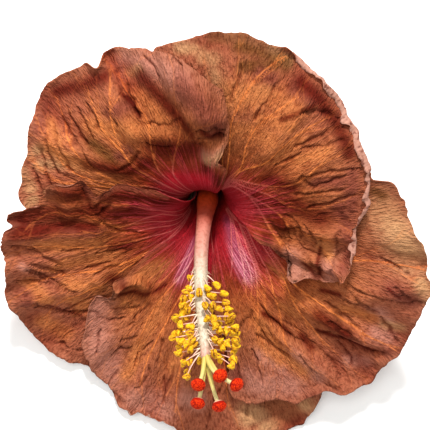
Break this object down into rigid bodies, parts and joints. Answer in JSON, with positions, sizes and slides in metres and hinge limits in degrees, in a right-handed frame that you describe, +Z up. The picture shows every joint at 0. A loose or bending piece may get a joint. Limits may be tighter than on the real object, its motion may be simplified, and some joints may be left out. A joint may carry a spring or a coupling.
{
  "type": "hibiscus flower",
  "caption": "Open hibiscus bloom lying face up: overlapping ruffled petals, a long curved staminal column with anthers and stigmas, calyx, epicalyx and a short cut stalk.",
  "frame": {"origin": "on the surface that the bloom lies on, below the middle of its bounding box", "axes": "+Z up from the surface; the throat opens up and towards -Y, where the column droops over the lower petals"},
  "size_m": [0.165, 0.1542, 0.0845],
  "materials": {
    "petals": "matt, veined, crimson in the throat and orange brown outside it",
    "column": "soft, cream, with yellow pollen on the anthers",
    "pistil": "soft, with velvety red stigmas",
    "sepals": "matt green",
    "stalk": "matt green"
  },
  "bodies": {
    "root": {"petal_lower": "petals", "petal_right": "petals", "petal_upper_right": "petals", "petal_upper_left": "petals", "petal_left": "petals", "staminal_column": "column", "pistil": "pistil", "calyx": "sepals", "epicalyx": "sepals", "flower_stalk": "stalk"}
  },
  "joints": []
}
